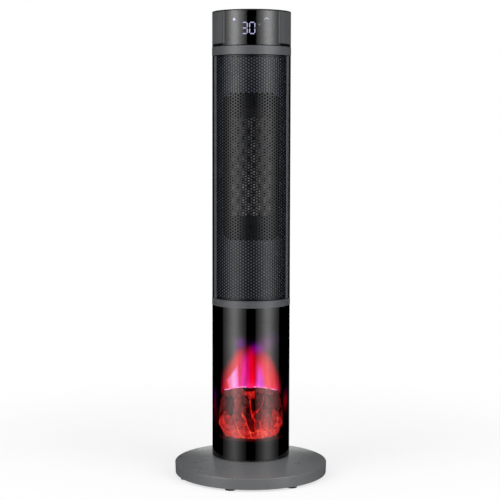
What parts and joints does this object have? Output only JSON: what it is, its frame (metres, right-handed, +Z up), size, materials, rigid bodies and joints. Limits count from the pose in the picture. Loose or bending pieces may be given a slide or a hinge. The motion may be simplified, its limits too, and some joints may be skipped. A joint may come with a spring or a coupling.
{
  "type": "electric fireplace heater",
  "caption": "Free-standing ceramic tower heater that swings on a round base, with a perforated grille over a rounded window, a flame-effect tube and a display head.",
  "frame": {"origin": "centre of the round base's footprint, on the floor", "axes": "+Z up along the tower's axis, -Y to the front with window, flames and display, +X to the right of someone who looks at the front"},
  "size_m": [0.24, 0.24, 0.725],
  "materials": {
    "base_grey": "fine matt grain, dark grey",
    "chassis_black": "plain moulded black",
    "cast_ballast": "raw casting",
    "foot_rubber": "black rubber",
    "gland_rubber": "black rubber",
    "switch_black": "satin black",
    "bearing_white": "natural acetal",
    "zinc_steel": "zinc-plated sheet",
    "smoked_gloss": "smoked acrylic, polished, see-through where lit",
    "rear_black": "fine spark-eroded texture, black",
    "coal_resin": "translucent moulding over red lamps, charred on top",
    "board_green": "circuit board",
    "screen_film": "translucent film lit from behind",
    "foil_bright": "bright foil",
    "band_grey": "satin dark grey",
    "grille_steel": "perforated sheet, semi-matt black paint",
    "housing_grey": "dark grey moulding",
    "filter_nylon": "fine nylon mesh",
    "duct_steel": "black-painted sheet",
    "frame_resin": "heat-proof glass-filled resin",
    "element_aluminium": "mill-finish aluminium",
    "wheel_black": "moulded black",
    "head_grey": "fine matt grain, grey",
    "display_gloss": "tinted acrylic, polished",
    "digit_resin": "black mask with clear segments"
  },
  "bodies": {
    "base": {"base_cover": "base_grey", "base_plate": "chassis_black", "ballast_ring": "cast_ballast", "rubber_feet": "foot_rubber", "cord_gland": "gland_rubber", "tip_switch": "switch_black", "thrust_ring": "bearing_white", "fixed_gear": "bearing_white"},
    "tower": {"swing_motor": "zinc_steel", "tower_floor": "chassis_black", "retaining_ring": "bearing_white", "flame_lens": "smoked_gloss", "lower_rear_cover": "rear_black", "coal_tray": "chassis_black", "coal_bed": "coal_resin", "ember_lamp_board": "board_green", "flame_lamp_board": "board_green", "flame_screen": "screen_film", "flicker_bracket": "zinc_steel", "flicker_motor": "zinc_steel", "mid_bulkhead": "chassis_black", "mid_ring": "band_grey", "front_grille": "grille_steel", "front_housing": "housing_grey", "rear_housing": "rear_black", "grip_panel": "rear_black", "intake_filter": "filter_nylon", "handle_pocket": "rear_black", "switch_body": "switch_black", "duct_floor": "duct_steel", "duct_roof": "duct_steel", "ptc_frame": "frame_resin", "ptc_bars": "element_aluminium", "ptc_fins": "element_aluminium", "ptc_terminals": "frame_resin", "thermal_cutout": "zinc_steel", "scroll_wall": "duct_steel", "tongue": "frame_resin", "fan_motor": "zinc_steel", "top_bearing": "bearing_white", "power_board": "board_green", "upper_bulkhead": "chassis_black", "collar": "band_grey", "head_shell": "head_grey", "display_lens": "display_gloss", "display_board": "board_green", "digit_module": "digit_resin", "top_panel": "display_gloss"},
    "swing_pinion": {"swing_pinion": "bearing_white"},
    "blower": {"blower_rotor": "wheel_black"},
    "flicker": {"flicker_spindle": "foil_bright"},
    "rocker": {"power_rocker": "switch_black"},
    "plunger": {"tip_plunger": "bearing_white"}
  },
  "joints": [
    {"name": "tower_swing", "type": "hinge", "parent": "base", "child": "tower", "pos_m": [0, 0, 0.032], "axis": [0, 0, 1], "range_deg": [-35, 35]},
    {"name": "swing_pinion_spin", "type": "hinge", "parent": "tower", "child": "swing_pinion", "pos_m": [0, 0.033, 0.021], "axis": [0, 0, 1], "range_deg": [-94, 94]},
    {"name": "blower_spin", "type": "hinge", "parent": "tower", "child": "blower", "pos_m": [0, 0.00926, 0.487], "axis": [0, 0, 1], "continuous": true},
    {"name": "flicker_spin", "type": "hinge", "parent": "tower", "child": "flicker", "pos_m": [0, 0.026, 0.0935], "axis": [1, 0, 0], "continuous": true},
    {"name": "rocker_tip", "type": "hinge", "parent": "tower", "child": "rocker", "pos_m": [0, 0.056, 0.321], "axis": [1, 0, 0], "range_deg": [0, 20]},
    {"name": "plunger_drop", "type": "slide", "parent": "base", "child": "plunger", "axis": [0, 0, 1], "range_m": [-0.004, 0], "stiffness_N_per_m": 60, "springref_m": -0.012}
  ],
  "couplings": [
    {"joint": "swing_pinion_spin", "follows": "tower_swing", "ratio": 2.6667}
  ]
}
